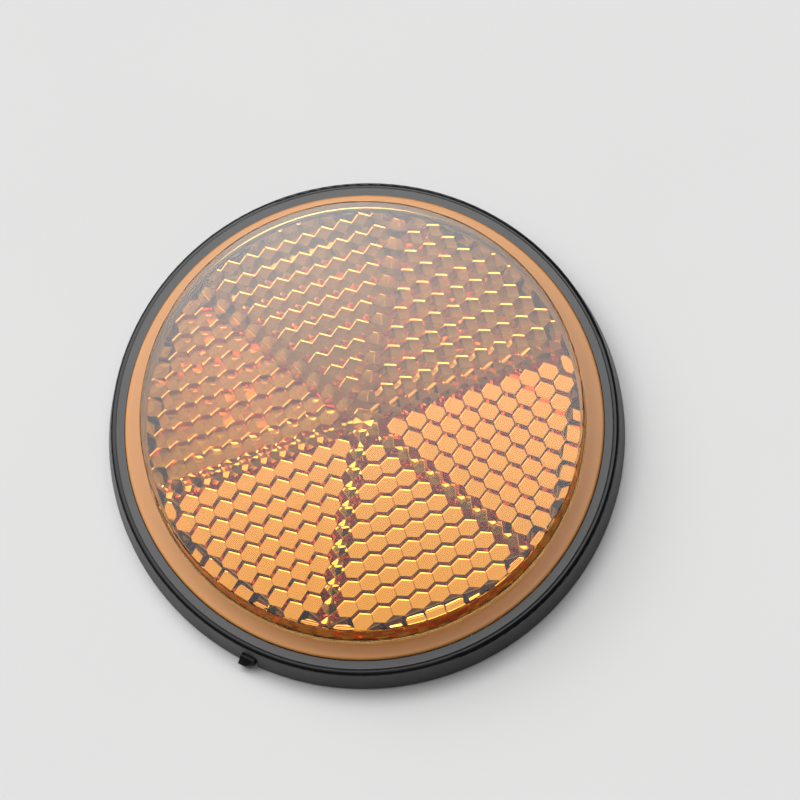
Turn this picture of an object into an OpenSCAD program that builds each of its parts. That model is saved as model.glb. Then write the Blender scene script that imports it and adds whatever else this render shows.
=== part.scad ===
// Round amber retro-reflector: a thick moulded lens with a corner-cube prism
// array on its underside, welded into a shallow black housing with a flat back.
// +Z points out of the lens, the origin is the centre of the back face and a
// row of prisms runs along X.

/* [Lens] */
// Diameter of the lens over its flange
lens_d = 55.2; // [45:0.1:80]
// Diameter of the raised clear disc
disc_d = 50.8; // [40:0.1:74]
// Height of the disc above the flange
disc_h = 4.9; // [2:0.1:8]
// Thickness of the flange
flange_t = 1.9; // [1:0.1:3]
// Thickness of the ring that joins disc and flange, measured from the flange top
web_t = 1.15; // [0.6:0.05:2]
// Edge radius round the top of the disc
disc_edge_r = 0.25; // [0.1:0.05:1]
// Bevel at the foot of the disc
disc_foot = 0.25; // [0.1:0.05:1]
// Bevel round the edge of the flange
flange_edge = 0.25; // [0.1:0.05:0.8]

/* [Prism array] */
// Width of one hexagonal prism pin across its flats
pin_w = 2.3; // [1.8:0.1:4]
// Lean of each cube corner out of the lens axis, towards the rim
pin_cant = 10; // [0:0.5:14]
// Clear margin between the prism field and the wall of the disc
field_margin = 0.6; // [0.2:0.1:3]
// Height of the pin tips above the underside of the joining ring
tip_rise = 0.1; // [0:0.05:0.5]
// Number of sectors, each with its pins turned to face the rim
sectors = 6; // [6]

/* [Housing] */
// Diameter of the housing at its foot
housing_d = 60; // [50:0.5:90]
// Height of the rim above the back face
rim_h = 4.9; // [3:0.1:8]
// Draft angle of the outer wall
wall_draft = 9; // [2:0.5:12]
// Width of the flat land on top of the rim
land_w = 1.0; // [0.6:0.05:1.6]
// Drop from the land to the rounded outer edge
edge_drop = 0.2; // [0.1:0.05:0.5]
// Radius of the rounded outer edge
edge_r = 0.45; // [0.2:0.05:0.8]
// Radius of the foot corner
foot_r = 0.4; // [0.2:0.05:0.8]
// Clearance round the lens flange
lens_gap = 0.1; // [0.05:0.05:0.3]
// Width of the ledge that carries the flange
seat_w = 1.4; // [0.8:0.1:2.5]
// Thickness of the floor
floor_t = 1.6; // [1:0.1:2.5]
// Radius between cavity wall and floor
cavity_r = 0.8; // [0.2:0.1:1.2]

/* [Back] */
// Diameter of the shallow recess for the mounting pad
pad_d = 50; // [30:1:56]
// Depth of the pad recess
pad_depth = 0.4; // [0.2:0.1:0.8]

/* [Gate scar] */
// Angle of the broken moulding gate round the housing
gate_at = 223; // [0:1:359]
// Width of the broken stub
gate_w = 1.7; // [1:0.1:3]
// Height of the broken stub
gate_h = 1.9; // [1:0.1:3]
// How far the stub stands out of the wall
gate_out = 0.7; // [0.3:0.1:1.5]
// Width of the relief pocket behind the stub
pocket_w = 1.9; // [1:0.1:3]

/* [Hidden] */
$fn = 128;
tiny = 0.01;

// heights
flange_z = rim_h + 0.5;
seat_z = flange_z - flange_t;
web_z = flange_z - web_t;
top_z = flange_z + disc_h;
tip_z = web_z + tip_rise;
edge_z = rim_h - edge_drop;

// a pin is a cube standing on one corner: the corner's diagonal to its edges
cube_lean = acos(1 / sqrt(3));
// each pin is this much wider than its pitch, so that the bundle fuses solid;
// the odd sectors have twice as much, so that no two side faces coincide
pin_lap = 0.06;
// the cube corner stands this far off the pin's own axis, as ground pins do
tip_off = [0.03, 0.02, 0];
field_d = disc_d - 2 * field_margin;
pin_span = ceil(field_d / pin_w / 2) + 1;

// radii
lens_r = lens_d / 2;
rebate_r = lens_r + lens_gap;
cavity_wall_r = rebate_r - seat_w;
// the outer wall is the common tangent of the foot corner and the rim edge
foot_x = housing_d / 2 - foot_r;
edge_x = (foot_x * cos(wall_draft) + foot_r * sin(wall_draft) + foot_r - edge_r
    - (edge_z - edge_r) * sin(wall_draft)) / cos(wall_draft);
wall_at_gate = foot_x + foot_r - (gate_h / 2 - foot_r) * tan(wall_draft);

// What a rounded edge of radius r takes off a square corner at the origin
// whose material fills +X and +Y. Added to an inside corner it is the fillet.
module corner(r) {
    difference() {
        translate([-tiny, -tiny]) square(r + tiny);
        translate([r, r]) circle(r);
    }
}

// The same for a straight bevel of width w.
module bevel(w) {
    polygon([[-tiny, -tiny], [w, -tiny], [w, 0], [0, w], [-tiny, w]]);
}

// ---- lens

// Half section of the lens without its prisms.
module lens_section() {
    difference() {
        union() {
            translate([0, web_z]) square([disc_d / 2, top_z - web_z]);
            translate([0, web_z]) square([lens_r, web_t]);
            translate([cavity_wall_r - 0.5, seat_z])
                square([lens_r - cavity_wall_r + 0.5, flange_t]);
            translate([disc_d / 2, flange_z]) bevel(disc_foot);
        }
        translate([disc_d / 2, top_z]) rotate(180) corner(disc_edge_r);
        translate([lens_r, flange_z]) rotate(180) bevel(flange_edge);
        translate([lens_r, seat_z]) rotate(90) bevel(flange_edge / 2);
    }
}

// One prism pin, tip down at the origin: a hexagonal column whose end is the
// corner of a cube, leaning so that the face towards +X lies flatter.
module pin(lap) {
    intersection() {
        cylinder(d = (pin_w + lap) * 2 / sqrt(3), h = 1.6 * pin_w, $fn = 6);
        translate(tip_off)
            rotate([0, pin_cant - cube_lean, 0]) rotate([0, 0, -45]) cube(4 * pin_w);
    }
}

// A sector of the pin bundle: a triangular lattice, cut along its two borders
// through the middle of the pins that stand on them.
module pin_sector(lap) {
    reach = field_d;
    half = 180 / sectors;
    intersection() {
        translate([-pin_lap / 2 / tan(half), -pin_lap / 2, 0])
            linear_extrude(2 * pin_w)
                polygon([[0, 0], [reach, 0],
                    [reach * cos(2 * half), reach * sin(2 * half)]]);
        for (i = [0:pin_span], j = [0:pin_span])
            let (x = pin_w * (i + j / 2), y = pin_w * j * sqrt(3) / 2)
                if (norm([x, y]) < field_d / 2 + pin_w * 0.6)
                    translate([x, y, 0]) rotate(half) pin(lap);
    }
}

// The air between the pins: what the pin bundle leaves of the field's disc,
// brought to the field's diameter as one solid.
module prism_pits() {
    resize([field_d, field_d, 0])
        difference() {
            translate([0, 0, web_z - 1])
                cylinder(d = field_d, h = 1 + tip_rise + 1.3 * pin_w, $fn = 120);
            for (k = [0:sectors - 1])
                rotate(k * 360 / sectors) translate([0, 0, tip_z])
                    pin_sector(pin_lap * (1 + k % 2));
        }
}

module lens() {
    color([0.98, 0.55, 0.12, 0.75])
        difference() {
            rotate_extrude() lens_section();
            prism_pits();
        }
}

// ---- housing

// Half section of the housing's outer form: flared wall, rounded edge, land.
module housing_outline() {
    polygon([
        [0, 0], [foot_x, 0],
        [foot_x + foot_r * cos(wall_draft), foot_r + foot_r * sin(wall_draft)],
        [edge_x + edge_r * cos(wall_draft), edge_z - edge_r + edge_r * sin(wall_draft)],
        [edge_x, edge_z], [0, edge_z]
    ]);
    translate([foot_x, foot_r]) circle(foot_r);
    translate([edge_x, edge_z - edge_r]) circle(edge_r);
    difference() {
        square([rebate_r + land_w, rim_h]);
        translate([rebate_r + land_w, rim_h]) rotate(180) corner(edge_drop / 2);
    }
}

// Rebate for the flange, cavity under the prisms and the recess for the pad.
module housing_hollows() {
    translate([-1, seat_z]) square([rebate_r + 1, rim_h]);
    difference() {
        translate([-1, floor_t]) square([cavity_wall_r + 1, rim_h]);
        translate([cavity_wall_r, floor_t]) rotate(90) corner(cavity_r);
    }
    translate([-1, -1]) square([pad_d / 2 + 1, pad_depth + 1]);
}

// The broken gate: a rough stub that stands out of the wall near its foot.
module gate_stub() {
    translate([wall_at_gate, 0, 0.2])
        hull() {
            translate([-0.4, -gate_w / 2, 0]) cube([0.4, gate_w, gate_h]);
            translate([gate_out - 0.25, -gate_w * 0.36, gate_h * 0.08])
                rotate([12, 8, 0]) cube([0.25, gate_w * 0.5, gate_h * 0.55]);
            translate([gate_out - 0.45, -gate_w * 0.05, gate_h * 0.35])
                rotate([-15, -10, 0]) cube([0.3, gate_w * 0.4, gate_h * 0.5]);
        }
}

module housing() {
    color([0.06, 0.06, 0.065])
        union() {
            difference() {
                rotate_extrude() difference() {
                    housing_outline();
                    housing_hollows();
                }
                rotate(gate_at)
                    translate([wall_at_gate - 0.35, -pocket_w / 2 + 0.3, -1])
                        cube([2, pocket_w, edge_z]);
            }
            rotate(gate_at) gate_stub();
        }
}

housing();
lens();
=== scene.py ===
import math

import bmesh
import bpy
from mathutils import Matrix, Vector


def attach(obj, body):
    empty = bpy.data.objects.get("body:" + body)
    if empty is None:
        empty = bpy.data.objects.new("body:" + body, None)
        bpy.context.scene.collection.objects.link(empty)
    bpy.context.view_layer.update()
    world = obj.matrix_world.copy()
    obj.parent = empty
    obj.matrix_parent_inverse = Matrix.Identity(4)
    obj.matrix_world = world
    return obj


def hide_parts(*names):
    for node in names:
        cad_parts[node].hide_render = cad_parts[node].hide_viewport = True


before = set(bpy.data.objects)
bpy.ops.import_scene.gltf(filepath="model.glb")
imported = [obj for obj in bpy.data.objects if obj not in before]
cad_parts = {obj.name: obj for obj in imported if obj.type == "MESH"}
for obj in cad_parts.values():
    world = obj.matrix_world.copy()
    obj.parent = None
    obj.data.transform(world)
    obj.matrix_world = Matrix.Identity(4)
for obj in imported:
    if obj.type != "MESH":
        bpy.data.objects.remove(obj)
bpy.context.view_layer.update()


# Housing: a shallow pan moulded in black ABS, with a flared wall and a rebate in the rim for
# the lens. The land beside the lens is matt, the rounded edge comes glossy out of the mould,
# and the stub on one side is where the moulding was broken off its gate.
class Value:
    """A node's output that can be reckoned with; each operator adds a Math node."""

    def __init__(self, graph, socket):
        self.graph, self.socket = graph, socket

    def math(self, operation, first, second=0.0, clamp=False):
        return self.graph.add("ShaderNodeMath", {"operation": operation, "use_clamp": clamp},
                              {0: first, 1: second})

    def above(self, limit):
        return self.math("GREATER_THAN", self, limit)

    def below(self, limit):
        return self.math("LESS_THAN", self, limit)

    def rising(self, low, high):
        """0 up to low, 1 from high on, and straight in between."""
        return self.math("DIVIDE", self - low, high - low, clamp=True)


for sign, operation in (("add", "ADD"), ("sub", "SUBTRACT"), ("mul", "MULTIPLY"),
                        ("truediv", "DIVIDE"), ("mod", "MODULO"), ("pow", "POWER")):
    setattr(Value, f"__{sign}__", lambda self, other, op=operation: self.math(op, self, other))
    setattr(Value, f"__r{sign}__", lambda self, other, op=operation: self.math(op, other, self))


class Graph:
    """A node tree in the making, for a material, the world or a geometry."""

    def __init__(self, tree):
        self.tree = tree
        tree.nodes.clear()

    def join(self, socket, value):
        """Link a socket to a Value, or to each of a list of them, or set its number."""
        for one in value if isinstance(value, list) else [value]:
            if isinstance(one, Value):
                self.tree.links.new(one.socket, socket)
            else:
                socket.default_value = one

    def add(self, kind, settings=None, inputs=None, out=0):
        """Add any node: its settings first, then its sockets by name or place."""
        node = self.tree.nodes.new(kind)
        for name, setting in (settings or {}).items():
            setattr(node, name, setting)
        for socket, value in (inputs or {}).items():
            self.join(node.inputs[socket], value)
        return Value(self, node.outputs[out]) if node.outputs else node

    def parts(self, vector):
        """The three components of a vector."""
        split = self.add("ShaderNodeSeparateXYZ", inputs={"Vector": vector}).socket.node
        return [Value(self, socket) for socket in split.outputs]

    def blend(self, share, first, second):
        """The first colour turning into the second as the share goes from 0 to 1."""
        return self.add("ShaderNodeMix", {"data_type": "RGBA"}, {0: share, 6: first, 7: second}, out=2)

    def noise(self, place, scale, detail):
        return self.add("ShaderNodeTexNoise", inputs={"Vector": place, "Scale": scale, "Detail": detail})


def new_material(name):
    """A material without nodes, its graph, and the place on the piece in metres."""
    material = bpy.data.materials.new(name)
    material.use_nodes = True
    graph = Graph(material.node_tree)
    place = graph.add("ShaderNodeTexCoord", out="Object")
    return material, graph, place


def distance_off_axis(x, y):
    return (x * x + y * y) ** 0.5


cavity_r, cavity_floor, cavity_top = 0.0258, 0.0012, 0.0040
land_z, land_r = 0.00484, 0.02872
edge_z, edge_r = 0.0043, 0.0288
skirt_z, skirt_r = 0.0022, 0.0262
plastic_black = (0.004, 0.004, 0.0045, 1)
skirt_black = (0.006, 0.006, 0.006, 1)
land_grey = (0.026, 0.025, 0.027, 1)
# The floor of the cavity under the lens is painted pale grey: painted light that brightens the windows
# between the pins.
cavity_painted_light_grey = (0.42, 0.42, 0.42, 1)


def black_abs():
    material, g, place = new_material("black_abs")
    x, y, z = g.parts(place)
    r = distance_off_axis(x, y)
    grain = g.noise(place, 5000.0, 2.0)
    flow = g.noise(place, 160.0, 4.0)
    cavity = r.below(cavity_r) * z.above(cavity_floor) * z.below(cavity_top)
    land = z.above(land_z) * r.below(land_r)
    edge = z.above(edge_z) * r.above(edge_r)
    skirt = z.below(skirt_z) * r.above(skirt_r)
    # Painted light: the cavity under the lens turns pale grey and glossy, so the windows between the pins
    # look lit.
    colour = g.blend(cavity, plastic_black, cavity_painted_light_grey)
    colour = g.blend(land, colour, land_grey)
    colour = g.blend(skirt, colour, skirt_black)
    roughness = (0.30 + flow * 0.16 + land * 0.02 - edge * 0.26) * (1.0 - cavity)
    relief = g.add("ShaderNodeBump", inputs={"Strength": 0.12, "Distance": 0.00002,
                                             "Height": grain * (1.0 - edge * 0.8)})
    surface = g.add("ShaderNodeBsdfPrincipled", inputs={
        "Base Color": colour, "Roughness": roughness, "Normal": relief,
        "Specular IOR Level": 0.25, "Coat Weight": land * 0.45, "Coat Roughness": 0.3})
    g.add("ShaderNodeOutputMaterial", inputs={"Surface": surface})
    return material


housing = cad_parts["housing"]
housing.data.materials.clear()
housing.data.materials.append(black_abs())


# Lens: one moulding in clear amber acrylic, welded into the rebate all round. A polished disc
# stands on a lightly frosted flange. Underneath, six sectors of hexagonal pins end in cube
# corners that lean towards the rim and send the light back. Sizes are in millimetres.
seat_z, web_z, flange_z, top_z = 3.5, 4.25, 5.4, 10.3
lens_r, disc_r, web_r = 27.6, 25.4, 25.8
corner_r, seat_bevel = 0.25, 0.12


def arc(centre_r, centre_z, radius, start, end, steps=6):
    """Points of a round corner in the half section, between two angles in degrees."""
    turns = [math.radians(start + (end - start) * i / steps) for i in range(steps + 1)]
    return [(centre_r + radius * math.cos(a), centre_z + radius * math.sin(a)) for a in turns]


lens_section = ([(0, web_z), (web_r, web_z), (web_r, seat_z)]
                + [(lens_r - seat_bevel, seat_z), (lens_r, seat_z + seat_bevel)]
                + arc(lens_r - corner_r, flange_z - corner_r, corner_r, 0, 90)
                + arc(disc_r + corner_r, flange_z + corner_r, corner_r, 270, 180)
                + arc(disc_r - corner_r, top_z - corner_r, corner_r, 0, 90, steps=8)
                + [(0, top_z)])


def turned(name, section, steps=256):
    """A closed form spun from a half section that starts and ends on the axis."""
    verts, rings = [], []
    for r, z in section:
        count = 1 if r == 0 else steps
        rings.append(range(len(verts), len(verts) + count))
        for i in range(count):
            a = 2 * math.pi * i / steps
            verts.append((r * math.cos(a), r * math.sin(a), z))
    faces = [tuple(rings[1])[::-1]]
    for low, high in zip(rings[1:-1], rings[2:-1]):
        for i in range(steps):
            j = (i + 1) % steps
            faces.append((low[i], low[j], high[j], high[i]))
    faces.append(tuple(rings[-2]))
    mesh = bpy.data.meshes.new(name)
    mesh.from_pydata(verts, [], faces)
    form = bmesh.new()
    form.from_mesh(mesh)
    loose = [v for v in form.verts if not v.link_faces]
    bmesh.ops.delete(form, geom=loose, context="VERTS")
    bmesh.ops.remove_doubles(form, verts=form.verts, dist=1e-5)
    bmesh.ops.recalc_face_normals(form, faces=form.faces)
    form.to_mesh(mesh)
    form.free()
    return mesh


class Growth(Graph):
    """A geometry tree with a named input for each size."""

    def __init__(self, name, sizes):
        super().__init__(bpy.data.node_groups.new(name, "GeometryNodeTree"))
        face = self.tree.interface
        face.new_socket("Geometry", in_out="INPUT", socket_type="NodeSocketGeometry")
        for size in sizes:
            face.new_socket(size, in_out="INPUT", socket_type="NodeSocketFloat")
        face.new_socket("Geometry", in_out="OUTPUT", socket_type="NodeSocketGeometry")
        self.start = self.tree.nodes.new("NodeGroupInput")

    def given(self, name):
        return Value(self, self.start.outputs[name])

    def vector(self, x=0.0, y=0.0, z=0.0):
        return self.add("ShaderNodeCombineXYZ", inputs={0: x, 1: y, 2: z})

    def index(self):
        return self.add("GeometryNodeInputIndex")

    def placed(self, geometry, **changes):
        """The geometry after a Translation, a Rotation or a Scale."""
        return self.add("GeometryNodeTransform", inputs={"Geometry": geometry, **changes})

    def prism(self, corners, radius, height):
        """A solid column with that many corners."""
        return self.add("GeometryNodeMeshCylinder", {"fill_type": "NGON"},
                        {"Vertices": corners, "Radius": radius, "Depth": height})

    def copies(self, points, piece, turn=(0, 0, 0)):
        return self.add("GeometryNodeInstanceOnPoints",
                        inputs={"Points": points, "Instance": piece, "Rotation": turn})

    def solid(self, operation, pieces, cut_from=None):
        """A boolean of closed pieces, or the difference of one piece and the others."""
        inputs = {1: pieces} if cut_from is None else {0: cut_from, 1: pieces}
        return self.add("GeometryNodeMeshBoolean", {"operation": operation, "solver": "MANIFOLD"}, inputs)


prism_sizes = {"Pin width": 2.3, "Overlap": 0.06, "Cant": 10.0, "Field radius": 24.8,
               "Tip height": 4.35, "Pin length": 3.7, "Rows": 12.0}
tip_off = (0.03, 0.02, 0)
field_foot, field_height = 3.25, 4.09
corner_cube, sector_reach, sector_height = 9.0, 40.0, 20.0
edge_lean = math.degrees(math.acos(1 / math.sqrt(3)))


def prism_pin(g, overlap):
    """One hexagonal pin on its tip, which is the corner of a cube leaning towards +X."""
    across_corners = (g.given("Pin width") + overlap) / math.sqrt(3)
    length = g.given("Pin length")
    column = g.placed(g.prism(6, across_corners, length), Translation=g.vector(z=length * 0.5))
    cube = g.add("GeometryNodeMeshCube", inputs={"Size": (corner_cube,) * 3})
    cube = g.placed(cube, Translation=(corner_cube / 2,) * 3)
    cube = g.placed(cube, Rotation=(0, 0, math.radians(-45)))
    lean = g.given("Cant") - edge_lean
    cube = g.placed(cube, Rotation=g.vector(y=lean.math("RADIANS", lean)), Translation=tip_off)
    return g.solid("INTERSECT", [column, cube])


def pin_sector(g, overlap):
    """The pins of one sixth of the field, about +X, cut off at the sector's borders."""
    width, rows, index = g.given("Pin width"), g.given("Rows"), g.index()
    column, row = index % rows, index / rows
    row = row.math("FLOOR", row)
    spot = g.vector((column + row) * width * (math.sqrt(3) / 2), (row - column) * width * 0.5)
    points = g.add("GeometryNodePoints", inputs={"Count": rows * rows})
    points = g.add("GeometryNodeSetPosition", inputs={"Geometry": points, "Position": spot})
    reach = g.add("ShaderNodeVectorMath", {"operation": "LENGTH"}, {0: spot}, out="Value")
    past = reach.above(g.given("Field radius") + width * 0.6)
    points = g.add("GeometryNodeDeleteGeometry", {"domain": "POINT"}, {"Geometry": points, "Selection": past})
    pins = g.solid("UNION", [g.copies(points, prism_pin(g, overlap))])
    wedge = g.placed(g.prism(3, sector_reach, sector_height), Rotation=(0, 0, math.pi))
    wedge = g.placed(wedge, Translation=g.vector(x=sector_reach - g.given("Overlap")))
    return g.solid("INTERSECT", [pins, wedge])


def prism_growth(material):
    """Turns the blank of the lens, in millimetres, into the lens with its pins, in metres."""
    g = Growth("prism_field", prism_sizes)

    def three_sectors(overlap, first):
        three = g.add("GeometryNodePoints", inputs={"Count": 3})
        turn = g.index() * math.radians(120) + math.radians(first)
        return g.copies(three, pin_sector(g, overlap), g.vector(z=turn))

    # neighbouring sectors overlap by different amounts, so that no two walls fall together
    overlap = g.given("Overlap")
    pins = g.solid("UNION", [three_sectors(overlap, 30), three_sectors(overlap * 2.0, 90)])
    pins = g.placed(pins, Translation=g.vector(z=g.given("Tip height")))
    block = g.placed(g.prism(256, g.given("Field radius"), field_height),
                     Translation=(0, 0, field_foot + field_height / 2))
    pits = g.solid("DIFFERENCE", [pins], cut_from=block)
    lens = g.solid("DIFFERENCE", [pits], cut_from=g.given("Geometry"))
    lens = g.placed(lens, Scale=(0.001, 0.001, 0.001))
    lens = g.add("GeometryNodeRealizeInstances", inputs={"Geometry": lens})
    lens = g.add("GeometryNodeSetMaterial", inputs={"Geometry": lens, "Material": material})
    g.add("NodeGroupOutput", inputs={"Geometry": lens})
    return g.tree


def grown(name, blank, tree, sizes, sharp_from=25, merge_within=1e-7):
    """The plain mesh that a geometry tree makes of a blank, as an object of its own."""
    seed = bpy.data.objects.new(name + "_seed", blank)
    bpy.context.collection.objects.link(seed)
    growth = seed.modifiers.new("growth", "NODES")
    growth.node_group = tree
    for socket in tree.interface.items_tree:
        if socket.in_out == "INPUT" and socket.name in sizes:
            growth[socket.identifier] = sizes[socket.name]
    now = bpy.context.evaluated_depsgraph_get()
    mesh = bpy.data.meshes.new_from_object(seed.evaluated_get(now), depsgraph=now)
    seed.modifiers.remove(growth)
    bpy.data.objects.remove(seed)
    mesh.name = name
    form = bmesh.new()
    form.from_mesh(mesh)
    bmesh.ops.remove_doubles(form, verts=form.verts, dist=merge_within)
    form.to_mesh(mesh)
    form.free()
    mesh.polygons.foreach_set("use_smooth", [True] * len(mesh.polygons))
    mesh.set_sharp_from_angle(angle=math.radians(sharp_from))
    piece = bpy.data.objects.new(name, mesh)
    bpy.context.collection.objects.link(piece)
    return piece


flange_start, flange_full = 0.02560, 0.02566
flange_low, flange_high = 0.0049, 0.00545
wall_r, wall_low, wall_high = 0.02535, 0.0056, 0.0101
amber_pale = (0.98, 0.93, 0.85, 1)
amber_wall = (0.85, 0.42, 0.12, 1)
amber_frost = (0.98, 0.42, 0.10, 1)
amber_depth = (0.97, 0.68, 0.02, 1)


def amber_acrylic():
    material, g, place = new_material("amber_acrylic")
    x, y, z = g.parts(place)
    r = distance_off_axis(x, y)
    flange = r.rising(flange_start, flange_full) * z.below(flange_high) * z.above(flange_low)
    wall = r.above(wall_r) * z.above(wall_low) * z.below(wall_high)
    clear = g.add("ShaderNodeBsdfPrincipled", inputs={
        "Base Color": g.blend(wall, amber_pale, amber_wall), "Roughness": flange * 0.35,
        "IOR": 1.49, "Transmission Weight": 1.0})
    frosted = g.add("ShaderNodeBsdfPrincipled", inputs={"Base Color": amber_frost, "Roughness": 0.34})
    surface = g.add("ShaderNodeMixShader", inputs={0: flange * 0.6, 1: clear, 2: frosted})
    dye = g.add("ShaderNodeVolumeAbsorption", inputs={"Color": amber_depth, "Density": 240.0})
    g.add("ShaderNodeOutputMaterial", inputs={"Surface": surface, "Volume": dye})
    return material


amber = amber_acrylic()
lens_blank = turned("lens_blank", lens_section)
lens_blank.materials.append(amber)
lens = grown("lens_amber", lens_blank, prism_growth(amber), prism_sizes)
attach(lens, "root")
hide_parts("lens")


# Table: the matt white board that the reflector lies on, sprayed and a little uneven in tone.
# It isn't part of the object.
def sprayed_board():
    material, g, place = new_material("sprayed_board")
    tone = g.blend(g.noise(place, 18.0, 3.0), (0.67, 0.67, 0.67, 1), (0.71, 0.71, 0.706, 1))
    surface = g.add("ShaderNodeBsdfPrincipled", inputs={"Base Color": tone, "Roughness": 0.6})
    g.add("ShaderNodeOutputMaterial", inputs={"Surface": surface})
    return material


half_table = 0.6
table_corners = [(-half_table, -half_table, 0), (half_table, -half_table, 0),
                 (half_table, half_table, 0), (-half_table, half_table, 0)]
table_top = bpy.data.meshes.new("table")
table_top.from_pydata(table_corners, [], [(0, 1, 2, 3)])
table_top.materials.append(sprayed_board())
table = bpy.data.objects.new("table", table_top)
bpy.context.collection.objects.link(table)


# Camera: half a metre away and 15 degrees off the axis of the lens, turned about its own line
# of sight, and shifted so that the foot of the reflector falls where it does in the photograph.
image_px = 800
pixels_at_unit_distance = 4303
axis_foot_px = (366.36, 435.70)
camera_distance, camera_azimuth, camera_elevation, camera_roll = 0.5, -7.7, 75.17, -12.8

azimuth, elevation = math.radians(camera_azimuth), math.radians(camera_elevation)
towards_camera = Vector((math.sin(azimuth) * math.cos(elevation),
                         -math.cos(azimuth) * math.cos(elevation), math.sin(elevation)))
camera = bpy.data.objects.new("camera", bpy.data.cameras.new("camera"))
camera.data.sensor_width = 36
camera.data.lens = 36 * pixels_at_unit_distance / image_px
camera.data.clip_start, camera.data.clip_end = 0.01, 10
camera.data.shift_x = (image_px / 2 - axis_foot_px[0]) / image_px
camera.data.shift_y = (axis_foot_px[1] - image_px / 2) / image_px
camera.location = towards_camera * camera_distance
camera.rotation_mode = "QUATERNION"
camera.rotation_quaternion = ((-towards_camera).to_track_quat("-Z", "Y")
                              @ Matrix.Rotation(math.radians(camera_roll), 4, "Z").to_quaternion())
bpy.context.collection.objects.link(camera)
bpy.context.scene.camera = camera


# Light: a dim room with soft boxes overhead. The main one stands behind the reflector, the
# one at the left throws the shadow to the lower right, and the wall beside the camera is pale.
# Each is a way round from the right edge of the photograph and one down from straight up, in
# degrees, then its spread in degrees and its strength.
photo_turn = 20.5
room_strength, horizon_strength = 0.10, 0.8
soft_boxes = [(104, 26, 8, 8.0), (143, 41, 14, 5.4), (52, 20, 8, 4.2), (178, 20, 7, 1.6),
              (282.8, 14, 9, 0.82)]


def soft_box(g, way, round_angle, down_angle, spread, strength):
    a, d = math.radians(round_angle - photo_turn), math.radians(down_angle)
    centre = (math.sin(d) * math.cos(a), math.sin(d) * math.sin(a), math.cos(d))
    near = g.add("ShaderNodeVectorMath", {"operation": "DOT_PRODUCT"}, {0: way, 1: centre}, out="Value")
    fall = (near - 1.0) / math.radians(spread) ** 2
    return fall.math("EXPONENT", fall) * strength


world = bpy.data.worlds.new("room")
world.use_nodes = True
room = Graph(world.node_tree)
way = room.add("ShaderNodeTexCoord", out="Generated")
level = room_strength
for box in soft_boxes:
    level = soft_box(room, way, *box) + level
seen = room.add("ShaderNodeLightPath", out="Is Camera Ray")
level = level * (1.0 - seen) + seen * horizon_strength
glow = room.add("ShaderNodeBackground", inputs={"Color": (1, 1, 1, 1), "Strength": level})
room.add("ShaderNodeOutputWorld", inputs={"Surface": glow})
bpy.context.scene.world = world

# Light goes through the pins many times before it comes out again.
cycles = bpy.context.scene.cycles
cycles.max_bounces, cycles.transmission_bounces, cycles.glossy_bounces = 24, 20, 12
cycles.caustics_refractive = True
cycles.caustics_reflective = True
bpy.context.scene.view_settings.view_transform = "Standard"
